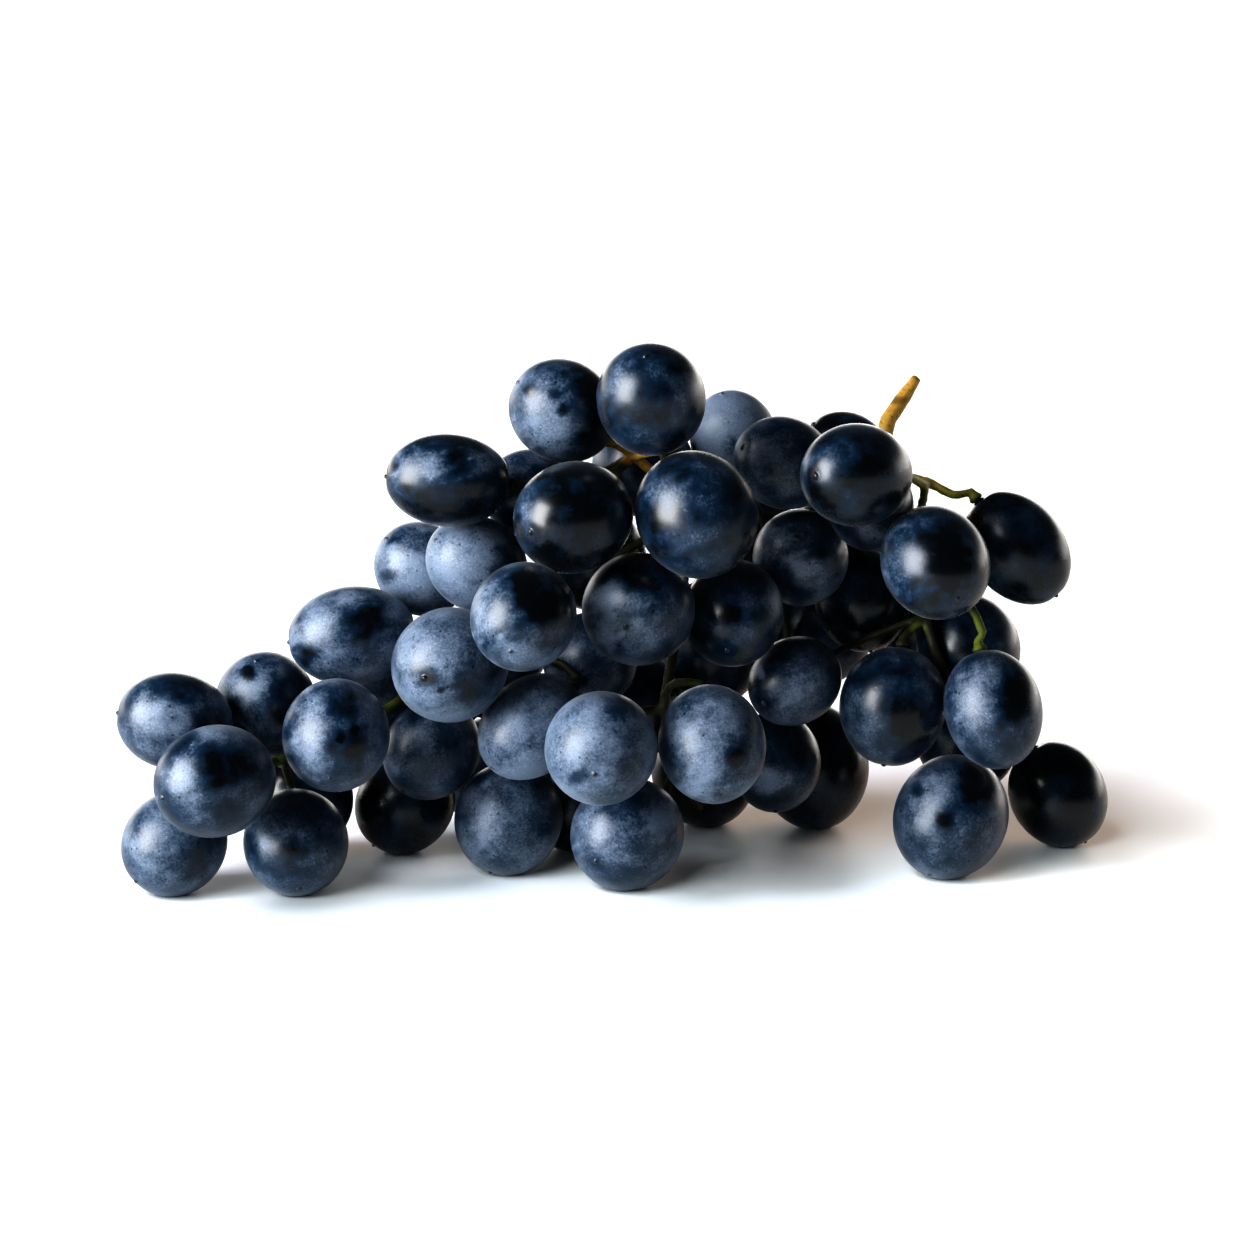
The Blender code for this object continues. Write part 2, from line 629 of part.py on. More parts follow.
def centre_of_box(objects):
    """The middle of the objects' box, in the bunch's plane."""
    bpy.context.view_layer.update()
    graph = bpy.context.evaluated_depsgraph_get()
    corners = []
    for obj in objects:
        shape = obj.evaluated_get(graph)
        flat = np.empty(len(shape.data.vertices) * 3, np.float32)
        shape.data.vertices.foreach_get("co", flat)
        world = np.array(shape.matrix_world)
        spots = flat.reshape(-1, 3) @ world[:3, :3].T + world[:3, 3]
        corners += [spots.min(axis=0), spots.max(axis=0)]
    middle = (np.min(corners, axis=0) + np.max(corners, axis=0)) / 2
    return round(float(middle[0]), 5), round(float(middle[1]), 5)


def main():
    clear_scene()
    shown = collection("bunch_of_grapes")
    cutters = collection("cutters")
    stem_parts = collection("stem_parts")
    bunch = Bunch({**SEEN_GRAPES, **BACK_GRAPES})
    line_points = [rounded_line(corners, CELL) for _, corners in STEM_LINES.values()]
    line_radii = [np.full(len(line), thickness / 2)
                  for line, (thickness, _) in zip(line_points, STEM_LINES.values())]
    settle(bunch, np.vstack(line_points), np.concatenate(line_radii))
    whole = bpy.data.objects.new("bunch", None)
    shown.objects.link(whole)
    floor_cutter = make_floor_cutter(whole, cutters)
    nodes = [make_grape(*row, whole, shown, floor_cutter) for row in
             zip(bunch.names, bunch.centres, bunch.axes, bunch.long, bunch.wide)]
    nodes.append(make_stem(bunch, whole, shown, stem_parts))
    across, along = centre_of_box(nodes)
    whole.location = (-across, -along, 0)


main()
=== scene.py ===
"""A bunch of dark table grapes: skins with their bloom, the woody stem, and a pale stage with the camera.

Each grape is a surface round the long axis of its solid, with the small dip round its stem, the scar at
its far end and the uneven wax that the skin carries. Named sizes here are in millimetres unless a comment
says otherwise, and Blender's own data is in metres.
"""

import math

import bmesh
import bpy
import numpy as np
from bpy.props import FloatProperty, FloatVectorProperty, IntProperty, PointerProperty
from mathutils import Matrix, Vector


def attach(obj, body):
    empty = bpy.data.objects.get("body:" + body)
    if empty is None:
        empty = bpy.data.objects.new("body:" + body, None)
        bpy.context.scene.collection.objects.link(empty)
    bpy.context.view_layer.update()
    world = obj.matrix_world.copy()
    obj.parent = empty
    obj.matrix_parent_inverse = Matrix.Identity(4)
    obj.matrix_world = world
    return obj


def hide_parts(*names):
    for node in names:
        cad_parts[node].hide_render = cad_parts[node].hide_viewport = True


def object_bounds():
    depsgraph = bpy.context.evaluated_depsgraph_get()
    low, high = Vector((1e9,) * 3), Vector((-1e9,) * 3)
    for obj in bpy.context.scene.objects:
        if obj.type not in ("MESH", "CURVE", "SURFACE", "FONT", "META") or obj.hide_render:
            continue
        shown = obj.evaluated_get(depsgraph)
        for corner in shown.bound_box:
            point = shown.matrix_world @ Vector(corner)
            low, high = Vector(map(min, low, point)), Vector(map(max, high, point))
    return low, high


bl_info = {
    "name": "Bunch of grapes",
    "version": (1, 0, 0),
    "blender": (4, 5, 0),
    "location": "3D View > Sidebar > Grapes",
    "description": "Makes the skins, the stem and the stage of a bunch of dark grapes",
    "category": "Object",
}

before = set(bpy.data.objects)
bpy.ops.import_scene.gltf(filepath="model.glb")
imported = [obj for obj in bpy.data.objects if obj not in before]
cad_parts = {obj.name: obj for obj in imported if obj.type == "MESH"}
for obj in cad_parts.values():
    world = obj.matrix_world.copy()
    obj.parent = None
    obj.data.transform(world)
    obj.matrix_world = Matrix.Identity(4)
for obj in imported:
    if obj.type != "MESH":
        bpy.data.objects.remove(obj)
SOLID_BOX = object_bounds()

MM = 0.001

# The place that the photograph was taken from. Places in the photograph are counted across and up from
# a point under the middle of the bunch, and the photograph's centre is at AIM_ACROSS and AIM_UP
VIEW_TILT = math.radians(11)
VIEW_DISTANCE = 750.0
AIM = np.array([0.79, -5.09, 0.0])
AIM_ACROSS = 3.8
AIM_UP = 47.8
ACROSS = np.array([1.0, 0.0, 0.0])
UP = np.array([0.0, math.sin(VIEW_TILT), math.cos(VIEW_TILT)])
BACK = np.array([0.0, math.cos(VIEW_TILT), -math.sin(VIEW_TILT)])
FRAME_WIDTH = 252.0
SENSOR = 36.0

# How thick each grape's wax is, from rubbed bare to frosted
BLOOM = {
    "grape_tip_1": 0.55, "grape_tip_2": 0.58, "grape_tip_3": 0.38, "grape_tip_4": 0.62,
    "grape_tip_5": 0.50, "grape_tip_6": 0.48, "grape_left_1": 0.62, "grape_left_2": 0.50,
    "grape_left_3": 0.78, "grape_left_4": 0.22, "grape_left_5": 0.88, "grape_left_6": 0.90,
    "grape_crown_1": 0.18, "grape_crown_2": 0.34, "grape_crown_3": 0.50, "grape_crown_4": 0.52,
    "grape_crown_5": 0.10, "grape_crown_6": 0.26, "grape_crown_7": 0.28, "grape_crown_8": 1.10,
    "grape_crown_9": 0.54, "grape_heart_1": 0.48, "grape_heart_2": 0.34, "grape_heart_3": 0.50,
    "grape_heart_4": 0.60, "grape_heart_5": 0.48, "grape_heart_6": 0.20, "grape_shoulder_1": 0.22,
    "grape_shoulder_2": 0.40, "grape_shoulder_3": 0.06, "grape_shoulder_4": 0.22,
    "grape_shoulder_5": 0.22, "grape_right_1": 0.30, "grape_right_2": 0.50, "grape_right_3": 0.38,
    "grape_right_4": 0.46, "grape_right_5": 0.16, "grape_foot_1": 0.78, "grape_foot_2": 0.80,
    "grape_foot_3": 0.60, "grape_foot_4": 0.56, "grape_foot_5": 0.50, "grape_foot_6": 0.36,
    "grape_foot_7": 0.20,
}

# The least and the most wax on a grape at the back
BACK_BLOOM = (0.15, 0.6)

# Marks in the wax as the photograph shows them: across, up, half width, half height and how much wax
# is there beyond the grape's own; less than none is a rubbed place. Some are real frost and rubbed
# places, and others are painted light: more wax for a painted highlight, as on the left of crown_1,
# crown_7 and heart_1, and less wax for painted shade and painted dark reflection, as on the right of
# tip_4 and crown_4 and the dark oval on shoulder_4.
WAX_MARKS_AND_PAINTED_LIGHT = {
    "grape_tip_1": (
        (-87.2, 36.2, 6.0, 3.4, -0.5), (-89.4, 30.0, 6.0, 4.0, 0.3), (-81.0, 27.0, 3.0, 5.0, -0.3),
    ),
    "grape_tip_2": (
        (-72.6, 39.2, 1.7, 1.5, -0.5), (-71.4, 35.8, 3.6, 2.6, 0.35), (-65.0, 33.4, 4.0, 6.0, -0.5),
    ),
    "grape_tip_3": (
        (-78.0, 27.0, 6.0, 2.6, 0.45), (-85.8, 18.0, 3.0, 4.0, 0.35), (-75.6, 20.6, 6.0, 4.4, -0.3),
    ),
    "grape_tip_4": ((-83.4, 4.0, 4.4, 6.0, -0.25), (-92.0, 6.0, 3.0, 3.0, 0.15)),
    "grape_tip_5": (
        (-60.0, 28.0, 3.6, 8.0, 0.35), (-53.6, 30.6, 3.6, 4.4, -0.4), (-51.0, 24.6, 3.0, 3.4, -0.35),
        (-56.0, 24.0, 1.6, 1.4, -0.3),
    ),
    "grape_tip_6": (
        (-63.8, 4.0, 3.6, 2.6, -0.4), (-69.2, 5.2, 1.2, 1.2, 0.6), (-66.0, 9.0, 3.0, 2.0, 0.2),
    ),
    "grape_left_1": (
        (-58.2, 49.2, 3.4, 3.6, 0.35), (-52.0, 53.8, 3.0, 2.2, 0.35), (-49.8, 48.8, 5.2, 4.6, -0.45),
        (-61.0, 42.8, 2.2, 2.2, -0.5), (-41.6, 51.4, 2.8, 2.4, 0.3),
    ),
    "grape_left_2": ((-45.0, 19.0, 2.6, 2.4, 0.3), (-38.0, 27.0, 4.0, 3.0, 0.2)),
    "grape_left_3": (
        (-36.6, 38.4, 2.4, 2.4, -0.5), (-26.8, 38.0, 5.0, 5.0, -0.5), (-34.0, 30.8, 7.0, 2.2, 0.25),
    ),
    "grape_left_5": (
        (-39.2, 65.6, 5.0, 2.6, -0.5), (-39.4, 58.0, 5.0, 4.0, 0.2), (-44.4, 58.8, 1.7, 1.7, -0.5),
    ),
    "grape_left_6": ((-20.0, 60.0, 3.6, 7.0, -0.45),),
    "grape_crown_1": ((-38.0, 80.8, 5.6, 3.4, 0.6), (-25.4, 80.8, 2.8, 2.0, 0.3)),
    "grape_crown_2": (
        (-18.0, 42.8, 8.0, 3.0, 0.45), (-26.0, 51.6, 3.0, 6.0, 0.35), (-16.8, 58.0, 3.0, 2.0, -0.4),
        (-13.6, 53.6, 5.6, 5.0, -0.5), (-9.0, 47.0, 2.6, 3.0, 0.3),
    ),
    "grape_crown_4": (
        (-13.4, 89.6, 6.0, 6.0, 0.3), (-16.2, 95.6, 1.3, 1.2, -0.5), (-11.4, 95.0, 1.3, 1.2, -0.5),
        (-9.4, 91.6, 1.4, 1.2, -0.5), (-3.6, 93.0, 5.0, 8.0, -0.5),
    ),
    "grape_crown_5": ((-17.0, 74.2, 3.0, 4.6, 0.35),),
    "grape_crown_6": ((2.0, 97.2, 3.0, 5.0, 0.25), (14.6, 96.6, 3.0, 3.6, 0.3)),
    "grape_crown_7": ((11.0, 75.6, 4.0, 3.6, 0.25),),
    "grape_crown_8": ((19.8, 86.0, 3.4, 3.4, 0.5), (23.4, 85.0, 2.0, 2.0, -0.5)),
    "grape_crown_9": ((31.6, 82.8, 3.4, 2.6, 0.25),),
    "grape_heart_1": (
        (-1.4, 54.0, 2.6, 3.4, 0.55), (-0.8, 48.0, 2.6, 3.6, 0.4), (5.4, 45.6, 4.6, 3.4, 0.3),
        (7.0, 59.0, 5.0, 4.6, -0.4),
    ),
    "grape_heart_2": ((23.4, 50.8, 2.6, 2.0, -0.35), (32.6, 54.0, 2.0, 5.0, 0.25)),
    "grape_heart_3": ((39.2, 60.2, 3.2, 2.6, 0.4), (34.0, 66.8, 2.4, 2.0, 0.3)),
    "grape_heart_5": ((35.0, 35.8, 3.4, 3.0, 0.35), (29.8, 39.4, 1.2, 1.2, 0.6)),
    "grape_shoulder_4": ((57.8, 61.8, 4.4, 7.0, 0.3), (68.0, 60.4, 3.8, 5.4, -0.5)),
    "grape_shoulder_5": ((77.2, 69.8, 2.2, 2.0, 0.3),),
    "grape_right_2": ((72.0, 33.0, 3.6, 6.0, 0.4), (80.8, 34.0, 4.0, 5.0, -0.5)),
    "grape_right_3": (
        (50.0, 28.8, 4.0, 5.4, 0.25), (64.6, 43.4, 3.6, 3.6, 0.55), (58.6, 31.0, 3.0, 6.0, -0.3),
    ),
    "grape_right_4": (
        (63.2, 14.0, 4.0, 6.4, 0.3), (74.0, 18.0, 4.6, 4.4, -0.5), (61.4, 15.8, 1.5, 1.5, -0.5),
        (66.8, 9.8, 2.0, 1.7, -0.5),
    ),
    "grape_foot_1": ((-18.0, 18.8, 4.6, 2.2, 0.35),),
    "grape_foot_2": (
        (2.2, 32.6, 3.8, 2.2, -0.5), (3.6, 19.4, 4.0, 3.6, -0.35), (-6.2, 18.4, 2.4, 1.5, -0.4),
    ),
    "grape_foot_3": (
        (18.6, 22.8, 3.6, 8.0, 0.35), (24.0, 31.2, 3.6, 4.0, 0.2), (25.0, 22.4, 2.2, 1.8, -0.5),
        (14.8, 15.8, 2.6, 2.4, 0.4),
    ),
    "grape_foot_4": ((-25.2, 9.6, 2.8, 6.0, 0.5),),
    "grape_foot_5": ((-3.0, 7.0, 4.0, 5.0, 0.25), (9.8, 10.0, 3.2, 3.6, 0.5)),
    "grape_foot_6": ((31.8, 17.4, 3.6, 3.0, 0.5),),
}

# Waves that give the marks uneven edges, and how far they move them
MARK_WAVES = ((1.5, 0.4, 0.9), (-0.8, 0.6, 1.7), (1.1, -0.9, -1.4), (2.4, 0.8, -0.5), (-0.6, 1.0, 2.9))
MARK_UNEVENNESS = 0.9

# Where the photograph shows the cut stalk's brown knot and end, and the green shoots that are left
# without the painted shade that darkens the other shoots inside the bunch: across, up, half width and
# half height
KNOTS = ((57.2, 93.8, 2.4, 0.9), (61.6, 98.6, 1.6, 1.0))
SHOOTS_WITHOUT_PAINTED_SHADE = (
    (66.0, 76.6, 9.0, 5.0), (73.8, 47.2, 2.6, 4.4), (61.4, 48.2, 1.5, 1.2), (-67.6, 24.0, 2.4, 3.0),
    (-44.6, 34.6, 2.0, 2.0), (-40.6, 28.8, 1.6, 2.6),
)

# The woody shoot between the top grapes, as the photograph shows it, which lies this far in front
SHOOT_START = np.array([-1.6, 85.2])
SHOOT_RUN = np.array([9.8, -4.6])
SHOOT_HALF_WIDTH = 1.7
SHOOT_IN_FRONT = 8.0

# How far the old wood reaches from the cut end, and from where, over what distance and how much the stem
# turns green towards the back, where it loses the painted shade of the inner shoots
WOOD_REACH = 24.0
BACK_STARTS = 18.0
BACK_FADE = 14.0
BACK_GREEN = 0.5

# The rings of a grape and the points on each, and how much the rings crowd towards its two ends
GRAPE_ROWS = 60
GRAPE_COLUMNS = 72
POLE_CROWDING = 0.7

# Corners this near the table, and this far off the surface in each round, are left out of a grape's fit
FLOOR_TOUCH = 0.01
FIT_ROUNDS = (0.15, 0.05, 0.02)

# The relief of a grape: the dip round the stem, the dimple and scar at the far end, and the swelling
DIP_DEPTH = 0.34
DIP_RADIUS = 2.1
DIP_WIDTH = 0.9
DIMPLE_DEPTH = 0.2
DIMPLE_RADIUS = 1.7
SCAR_HEIGHT = 0.42
SCAR_RADIUS = (0.38, 0.5)
SWELL_HEIGHT = 0.11
SWELL_WAVES = 5
SWELL_LENGTHS = (14, 30)

# The relief of the stem, which also grows by a little to make up for what the easing takes
KNOT_WAVES = 24
KNOT_LENGTHS = (1.2, 3.5)
KNOT_HEIGHT = 0.22
STEM_GROWTH = 0.03

# Corners of the stem's solid this near each other are one corner
MERGE_DISTANCE = 0.001

# How far apart the wax patterns of two grapes may lie, and where the random draws start
PATTERN_REACH = 400
SKIN_SEED = 11
STEM_SEED = 5

# Steps of each pattern in a millimetre of skin, and in a metre of stem
PATCHES_PER_MM = 0.16
GRAIN_PER_MM = 1.9
DOTS_PER_MM = 0.75
CRYSTALS_PER_MM = 1.7
CLOUDS_PER_M = 350.0
FLECKS_PER_M = 1200.0

# How strongly the patches and the grain change the wax, and the share of the pattern that has no dots
PATCH_CONTRAST = 1.5
GRAIN_CONTRAST = 1.0
DOTLESS_SHARE = 0.74

# How the age of the wood changes from place to place, and how brown a knot is
AGE_CONTRAST = 0.9
AGE_LEAST = 0.55
KNOT_BROWN = 0.75

# The colour sockets of a Mix node, which share their names with its other sockets
COLOUR_A = 6
COLOUR_B = 7
COLOUR_OUT = 2

# The table's points on a side, and how far it lies below the grapes
FLOOR_POINTS = 9
FLOOR_DROP = 0.1

# The window's place and size in metres
WINDOW_PLACE = (-0.76, -0.456, 0.323)
WINDOW_SIZE = (0.6, 0.75)

# The lamps that light the table alone: name, direction, colour, width in degrees, and whether the table
# throws their light back at the grapes
TABLE_LAMPS = (
    ("daylight", (-0.66, -0.42, 0.86), "#eef2ff", 24, False),
    ("skylight", (0.6, 0.7, 0.4), "#ffcba0", 50, False),
    ("table_glow", (-0.52, -0.75, 0.58), "#e0e9ec", 40, True),
)

# The bright wall behind the bunch: its light, between which heights it ends, and how it fades to the sides
WALL_LIGHT = (3.0, 2.9, 2.75)
WALL_TOP = (0.12, 0.34)
WALL_SIDES = 0.5


def linear(code):
    """The linear colour of an sRGB hex code."""
    shares = [int(code[at:at + 2], 16) / 255 for at in (1, 3, 5)]
    return tuple(s / 12.92 if s <= 0.04045 else ((s + 0.055) / 1.055) ** 2.4 for s in shares)


def seen_place(points):
    """Where points in millimetres show in the photograph: across and up at the aim, in millimetres.

    Both are measured along the picture and shrink with the distance from the camera.
    """
    apart = points - AIM
    spread = 1 + apart @ BACK / VIEW_DISTANCE
    return np.stack([
        apart @ ACROSS / spread + AIM_ACROSS,
        (apart @ UP - AIM_UP) / spread + AIM_UP,
    ], axis=-1)


def node_points(name):
    """A solid's own corners, each once, in millimetres."""
    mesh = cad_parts[name].data
    flat = np.empty(len(mesh.vertices) * 3, np.float32)
    mesh.vertices.foreach_get("co", flat)
    return np.unique(np.round(flat.reshape(-1, 3).astype(float) / MM, 4), axis=0)


def fitted_grape(name):
    """Centre, long axis towards the stem end, and half sizes of the ellipsoid that a grape's corners lie on.

    The nine numbers of the surface x.Ax + 2b.x = 1 come from least squares. The corners of the flat at the
    stem end and of the flat that the grape rests on lie off it, so the fit is made again without them.
    """
    corners = node_points(name)
    middle = (corners.min(0) + corners.max(0)) / 2
    local = corners - middle
    above = corners[:, 2] > FLOOR_TOUCH
    kept = above
    for tolerance in FIT_ROUNDS:
        x, y, z = local[kept].T
        terms = [x * x, y * y, z * z, 2 * x * y, 2 * x * z, 2 * y * z, 2 * x, 2 * y, 2 * z]
        a = np.linalg.lstsq(np.stack(terms, axis=1), np.ones(len(x)), rcond=None)[0]
        form = np.array([[a[0], a[3], a[4]], [a[3], a[1], a[5]], [a[4], a[5], a[2]]])
        centre = -np.linalg.solve(form, a[6:])
        form = form / (1 + centre @ form @ centre)
        apart = local - centre
        far = np.linalg.norm(apart, axis=1)
        off = (1 - 1 / np.sqrt(np.einsum("ij,jk,ik->i", apart, form, apart))) * far
        kept = above & (np.abs(off) < tolerance)
    shares, directions = np.linalg.eigh(form)
    halves = 1 / np.sqrt(shares)
    axis = directions[:, 0]
    stem_end = apart[above & ~kept].sum(axis=0)
    axis = axis * math.copysign(1, axis @ stem_end)
    return middle + centre, axis, halves[0], (halves[1] + halves[2]) / 2


def closed_grid(rows, columns):
    """The faces of a grid of rings between two poles: pole, rings of `columns` points, pole."""
    ring = np.arange(columns)
    following = (ring + 1) % columns
    starts = 1 + np.arange(rows - 1)[:, None] * columns
    corners = [starts + ring, starts + columns + ring, starts + columns + following, starts + following]
    quads = np.stack(corners, axis=-1).reshape(-1, 4)
    last = 1 + rows * columns
    last_ring = last - columns
    first_fan = np.stack([np.zeros(columns, int), 1 + ring, 1 + following], axis=1)
    last_fan = np.stack([np.full(columns, last), last_ring + following, last_ring + ring], axis=1)
    return quads.tolist() + first_fan.tolist() + last_fan.tolist()


def waves_over(points, count, lengths, chance):
    """The mean of plane waves in random directions, cos(w.x + p) with 2 pi / |w| between two lengths."""
    total = np.zeros(len(points))
    for _ in range(count):
        wave = chance.normal(size=3)
        wave *= 2 * np.pi / chance.uniform(*lengths) / np.linalg.norm(wave)
        total += np.cos(points @ wave + chance.uniform(0, 2 * np.pi)) / count
    return total


def grape_surface(axis, long_half, wide_half, chance):
    """Points of one grape round its own centre, the same in its own upright frame, and its scar's share.

    On rings at angle t from the stem end and angle f round the axis, the ellipsoid is
    (wide sin t cos f, wide sin t sin f, long cos t). Each point then moves along its normal by
    - a shallow ring-shaped dip where the stem's knob sits, deepest at one radius from the axis,
    - a shallow dimple at the far end with the small raised scar of the flower in it,
    - a low uneven swelling, the sum of a few slow waves over the surface.
    """
    share = np.arange(1, GRAPE_ROWS + 1) / (GRAPE_ROWS + 1)
    t = np.pi * (share - POLE_CROWDING * np.sin(2 * np.pi * share) / (2 * np.pi))
    f = 2 * np.pi * np.arange(GRAPE_COLUMNS) / GRAPE_COLUMNS
    t, f = (grid.ravel() for grid in np.meshgrid(t, f, indexing="ij"))
    t = np.concatenate([[0], t, [np.pi]])
    f = np.concatenate([[0], f, [0]])
    halves = np.array([wide_half, wide_half, long_half])
    upright = np.stack([np.sin(t) * np.cos(f), np.sin(t) * np.sin(f), np.cos(t)], axis=1) * halves
    normal = upright / halves ** 2
    normal /= np.linalg.norm(normal, axis=1, keepdims=True)
    from_axis = np.hypot(upright[:, 0], upright[:, 1])
    stem_side = t < np.pi / 2
    dip = np.exp(-((from_axis - DIP_RADIUS) / DIP_WIDTH) ** 2) * stem_side
    scar = np.exp(-(from_axis / chance.uniform(*SCAR_RADIUS)) ** 4) * ~stem_side
    dimple = np.exp(-(from_axis / DIMPLE_RADIUS) ** 2) * ~stem_side
    swell = waves_over(upright, SWELL_WAVES, SWELL_LENGTHS, chance)
    height = SCAR_HEIGHT * scar - DIP_DEPTH * dip - DIMPLE_DEPTH * dimple + SWELL_HEIGHT * swell
    upright = upright + normal * height[:, None]
    side = np.cross(axis, [0.0, 0.0, 1.0])
    side /= np.linalg.norm(side)
    turned = upright @ np.array([side, np.cross(axis, side), axis])
    return turned, upright, scar


def kept_in_box(points, centre):
    """The points drawn in evenly on any side where they would pass the solids' box, and flat on the floor."""
    low, high = (np.array(corner) / MM for corner in SOLID_BOX)
    apart = points - centre
    for side in range(3):
        over = apart[:, side].max() / (high[side] - centre[side])
        under = apart[:, side].min() / (low[side] - centre[side])
        apart[:, side] /= np.where(apart[:, side] > 0, max(over, 1), max(under, 1) if side < 2 else 1)
    points = centre + apart
    points[:, 2] = np.maximum(points[:, 2], low[2])
    return points


def new_object(name, points, faces, material):
    """A mesh object at the origin from points in millimetres."""
    mesh = bpy.data.meshes.new(name)
    mesh.from_pydata((points * MM).tolist(), [], faces)
    mesh.shade_smooth()
    mesh.materials.append(material)
    made = bpy.data.objects.new(name, mesh)
    bpy.context.scene.collection.objects.link(made)
    return made


def add_values(mesh, name, kind, values):
    """Store one value or vector for each point of the mesh."""
    attribute = mesh.attributes.new(name, kind, "POINT")
    field = "vector" if kind == "FLOAT_VECTOR" else "value"
    attribute.data.foreach_set(field, values.astype(np.float32).ravel())


def add_node(tree, kind, settings=(), values=(), links=()):
    """A new node with its settings, its sockets' values and the sockets that feed it."""
    node = tree.nodes.new(kind)
    for name, value in dict(settings).items():
        setattr(node, name, value)
    for socket, value in dict(values).items():
        node.inputs[socket].default_value = value
    for socket, source in dict(links).items():
        tree.links.new(source, node.inputs[socket])
    return node


def new_material(name, values):
    """A material with its Principled shader set and joined to the output, its node tree and the shader."""
    made = bpy.data.materials.new(name)
    made.use_nodes = True
    tree = made.node_tree
    tree.nodes.clear()
    shader = add_node(tree, "ShaderNodeBsdfPrincipled", values=values)
    add_node(tree, "ShaderNodeOutputMaterial", links={"Surface": shader.outputs["BSDF"]})
    return made, tree, shader


def grape_skin_material(settings):
    """Grape skin under its natural wax.

    The bare skin is almost black and as smooth as a polished berry. The wax lies on it as a thin blue
    dust, thick, pale and matt in places and rubbed off in others, in patches of 3 to 9 mm with worn edges.
    Where the marks add or take away wax, some of the pale places are a painted highlight and some of the
    dark ones a painted shade.
    Dark dots of 0.2 to 0.7 mm are places where the wax came off, and pale crystals of 0.1 to 0.4 mm lie
    where it is thick. A faint sheen gives the wax its soft pale rim. The wax's own grain is far too fine
    to see, so it is drawn at 0.5 mm.
    """
    made, tree, shader = new_material("grape_skin_with_wax", {
        "IOR": 1.54, "Sheen Weight": 0.22, "Sheen Roughness": 0.35, "Sheen Tint": (*settings.crystal, 1),
    })
    place = add_node(tree, "ShaderNodeAttribute", {"attribute_name": "skin_place"}).outputs["Vector"]
    bloom = add_node(tree, "ShaderNodeAttribute", {"attribute_name": "bloom"}).outputs["Fac"]
    scar = add_node(tree, "ShaderNodeAttribute", {"attribute_name": "scar"}).outputs["Fac"]

    # The amount of wax: the grape's own with its marks, whose painted highlights add wax and whose painted
    # shade takes it away, more or less in patches, with grain wherever there is some
    patches = add_node(tree, "ShaderNodeTexNoise", values={
        "Scale": PATCHES_PER_MM, "Detail": 5.0, "Roughness": 0.58, "Distortion": 0.1,
    }, links={"Vector": place})
    grain = add_node(tree, "ShaderNodeTexNoise", values={
        "Scale": GRAIN_PER_MM, "Detail": 3.0, "Roughness": 0.75,
    }, links={"Vector": place})
    spread = add_node(tree, "ShaderNodeMath", {"operation": "MULTIPLY_ADD"},
                      {1: PATCH_CONTRAST, 2: -PATCH_CONTRAST / 2}, {0: patches.outputs["Fac"]})
    grained = add_node(tree, "ShaderNodeMath", {"operation": "MULTIPLY_ADD"},
                       {1: GRAIN_CONTRAST, 2: -GRAIN_CONTRAST / 2}, {0: grain.outputs["Fac"]})
    patched = add_node(tree, "ShaderNodeMath", {"operation": "ADD"},
                       links={0: bloom, 1: spread.outputs[0]}).outputs[0]
    thin = add_node(tree, "ShaderNodeMapRange", {"interpolation_type": "SMOOTHSTEP"},
                    {"From Min": 0.0, "From Max": 0.45}, {"Value": patched}).outputs["Result"]
    grained = add_node(tree, "ShaderNodeMath", {"operation": "MULTIPLY"},
                       links={0: grained.outputs[0], 1: thin})
    amount = add_node(tree, "ShaderNodeMath", {"operation": "ADD"},
                      links={0: patched, 1: grained.outputs[0]}).outputs[0]

    # A dot in the middle of some cells takes wax away
    cells = add_node(tree, "ShaderNodeTexVoronoi", values={"Scale": DOTS_PER_MM}, links={"Vector": place})
    dots = add_node(tree, "ShaderNodeMapRange", {"interpolation_type": "SMOOTHSTEP"},
                    {"From Min": 0.08, "From Max": 0.26, "To Min": 0.4, "To Max": 0.0},
                    {"Value": cells.outputs["Distance"]})
    draw = add_node(tree, "ShaderNodeSeparateColor", links={"Color": cells.outputs["Color"]})
    dotted = add_node(tree, "ShaderNodeMath", {"operation": "GREATER_THAN"}, {1: DOTLESS_SHARE},
                      {0: draw.outputs["Red"]})
    dots = add_node(tree, "ShaderNodeMath", {"operation": "MULTIPLY"},
                    links={0: dots.outputs["Result"], 1: dotted.outputs[0]})
    amount = add_node(tree, "ShaderNodeMath", {"operation": "SUBTRACT"},
                      links={0: amount, 1: dots.outputs[0]}).outputs[0]
    thick = add_node(tree, "ShaderNodeMapRange", {"interpolation_type": "SMOOTHSTEP"},
                     {"From Min": 0.3, "From Max": 1.2}, {"Value": amount}).outputs["Result"]

    # Pale crystals in the middle of each small cell of the thick wax
    crystals = add_node(tree, "ShaderNodeTexVoronoi", values={"Scale": CRYSTALS_PER_MM},
                        links={"Vector": place})
    glints = add_node(tree, "ShaderNodeMapRange", {"interpolation_type": "SMOOTHSTEP"},
                      {"From Min": 0.12, "From Max": 0.3, "To Min": 0.3, "To Max": 0.0},
                      {"Value": crystals.outputs["Distance"]})
    glints = add_node(tree, "ShaderNodeMath", {"operation": "MULTIPLY"},
                      links={0: glints.outputs["Result"], 1: thick}).outputs[0]

